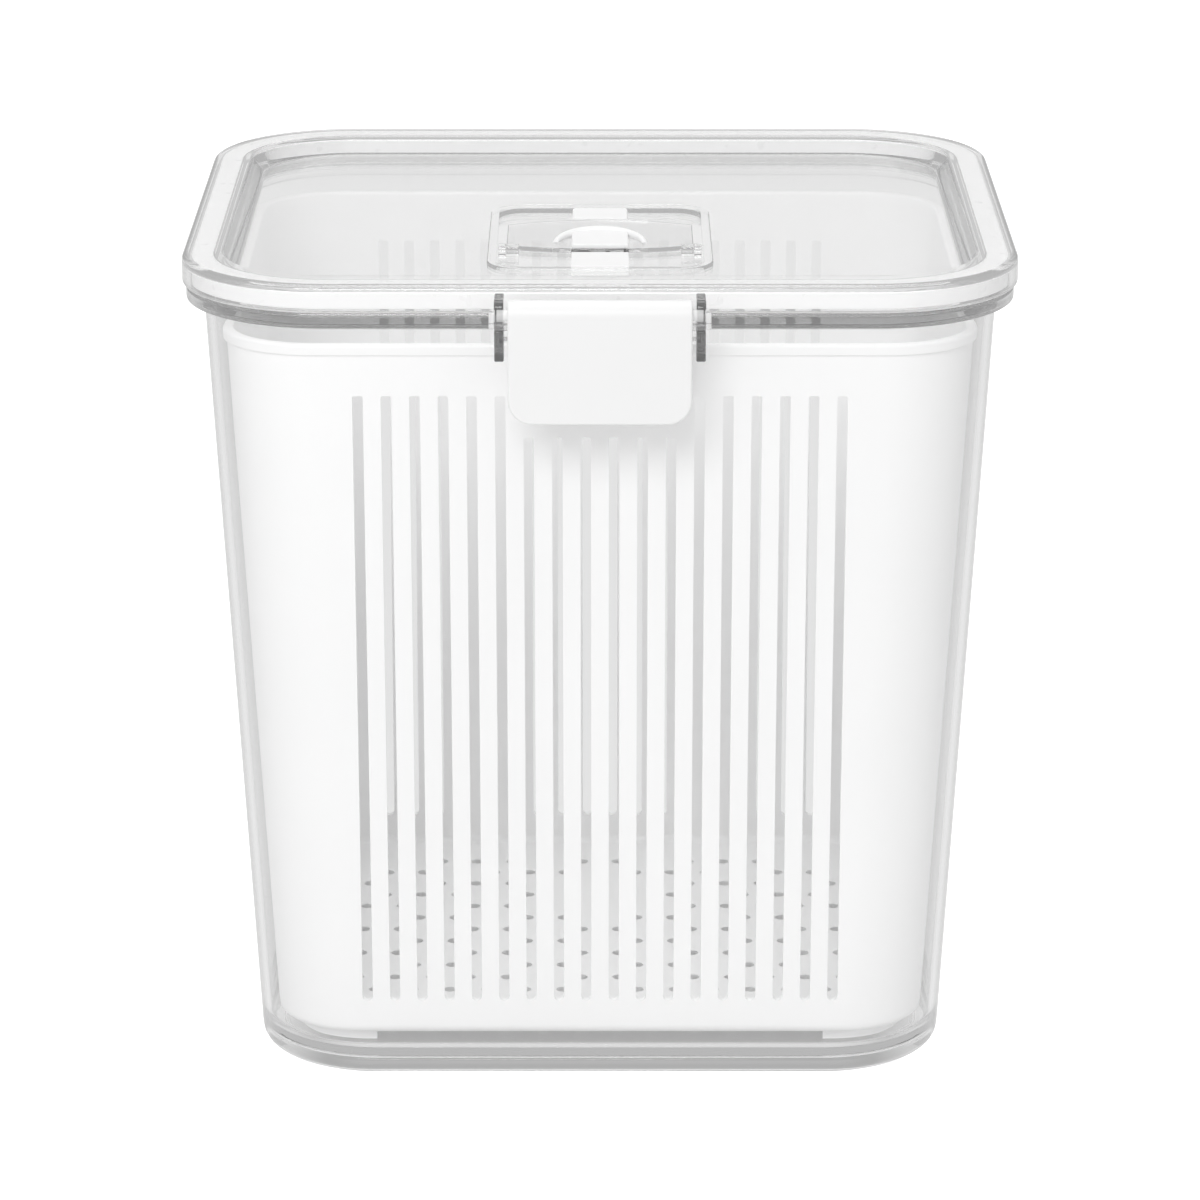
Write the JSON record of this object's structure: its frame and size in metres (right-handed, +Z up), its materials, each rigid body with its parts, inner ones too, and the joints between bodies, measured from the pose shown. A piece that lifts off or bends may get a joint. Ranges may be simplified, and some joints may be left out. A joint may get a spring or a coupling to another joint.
{
  "type": "airtight container with drain basket",
  "caption": "Clear tapered storage bin with a slotted white drain basket, a clear gasketed lid held by a snap latch, and a vent flap on the lid.",
  "frame": {"origin": "middle of the bottom of the whole object's box, latch included, on the surface that the bin stands on; the lid's middle lies 4.75 mm behind it", "axes": "+Z up; the front with its latch faces -Y; +X to the right seen from the front"},
  "size_m": [0.224, 0.2056, 0.2296],
  "materials": {
    "clear_plastic": "clear, polished",
    "clear_silicone": "translucent silicone",
    "white_plastic": "matte white",
    "white_silicone": "soft matte white"
  },
  "bodies": {
    "bin": {"bin": "clear_plastic"},
    "lid": {"lid": "clear_plastic", "lid_gasket": "clear_silicone", "strap_anchor": "white_silicone", "latch_pin": "white_plastic"},
    "basket": {"basket": "white_plastic"},
    "latch": {"latch": "white_plastic"},
    "vent_flap": {"vent_flap": "clear_plastic", "vent_plug": "white_silicone", "vent_tab": "white_silicone"}
  },
  "joints": [
    {"name": "lid_lift", "type": "slide", "parent": "bin", "child": "lid", "axis": [0, 0, 1], "range_m": [0, 0.25]},
    {"name": "basket_lift", "type": "slide", "parent": "bin", "child": "basket", "axis": [0, 0, 1], "range_m": [0, 0.2]},
    {"name": "latch_hinge", "type": "hinge", "parent": "lid", "child": "latch", "pos_m": [0, -0.09875, 0.223], "axis": [-1, 0, 0], "range_deg": [0, 150]},
    {"name": "vent_flap_hinge", "type": "hinge", "parent": "lid", "child": "vent_flap", "pos_m": [0, -0.03325, 0.225], "axis": [1, 0, 0], "range_deg": [0, 80]}
  ],
  "couplings": [
    {"joint": "basket_lift", "follows": "lid_lift", "ratio": 0.8}
  ]
}
